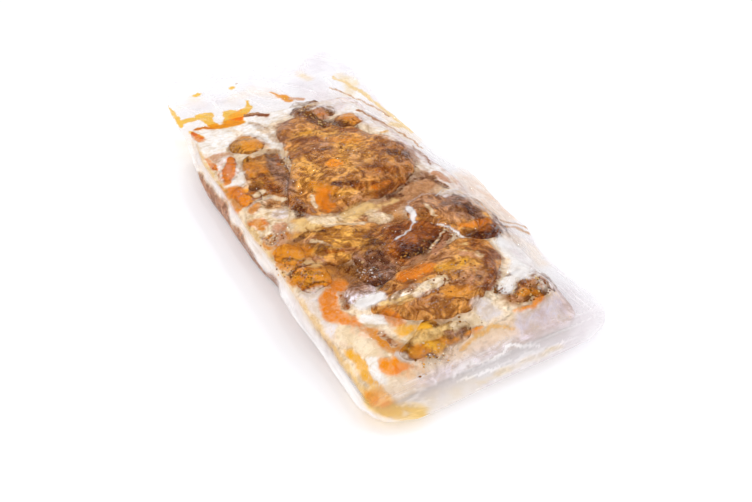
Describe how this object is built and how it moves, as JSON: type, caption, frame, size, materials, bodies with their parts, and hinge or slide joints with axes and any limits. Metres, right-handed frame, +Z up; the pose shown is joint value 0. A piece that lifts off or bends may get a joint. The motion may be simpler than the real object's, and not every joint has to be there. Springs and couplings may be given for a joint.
{
  "type": "vacuum-sealed pack of pork belly",
  "caption": "Flat clear vacuum pouch of cooked pork belly slices in sauce, with a lumpy filled body and a sealed film flange all round.",
  "frame": {"origin": "centre of the pack's outline, on the surface that it lies on", "axes": "+X across the pack, +Y along it from the filled end to the empty end, +Z up out of the shown side"},
  "size_m": [0.1472, 0.318, 0.0281],
  "materials": {
    "film": "clear glossy film, crinkled"
  },
  "bodies": {
    "root": {"pouch": "film"}
  },
  "joints": []
}
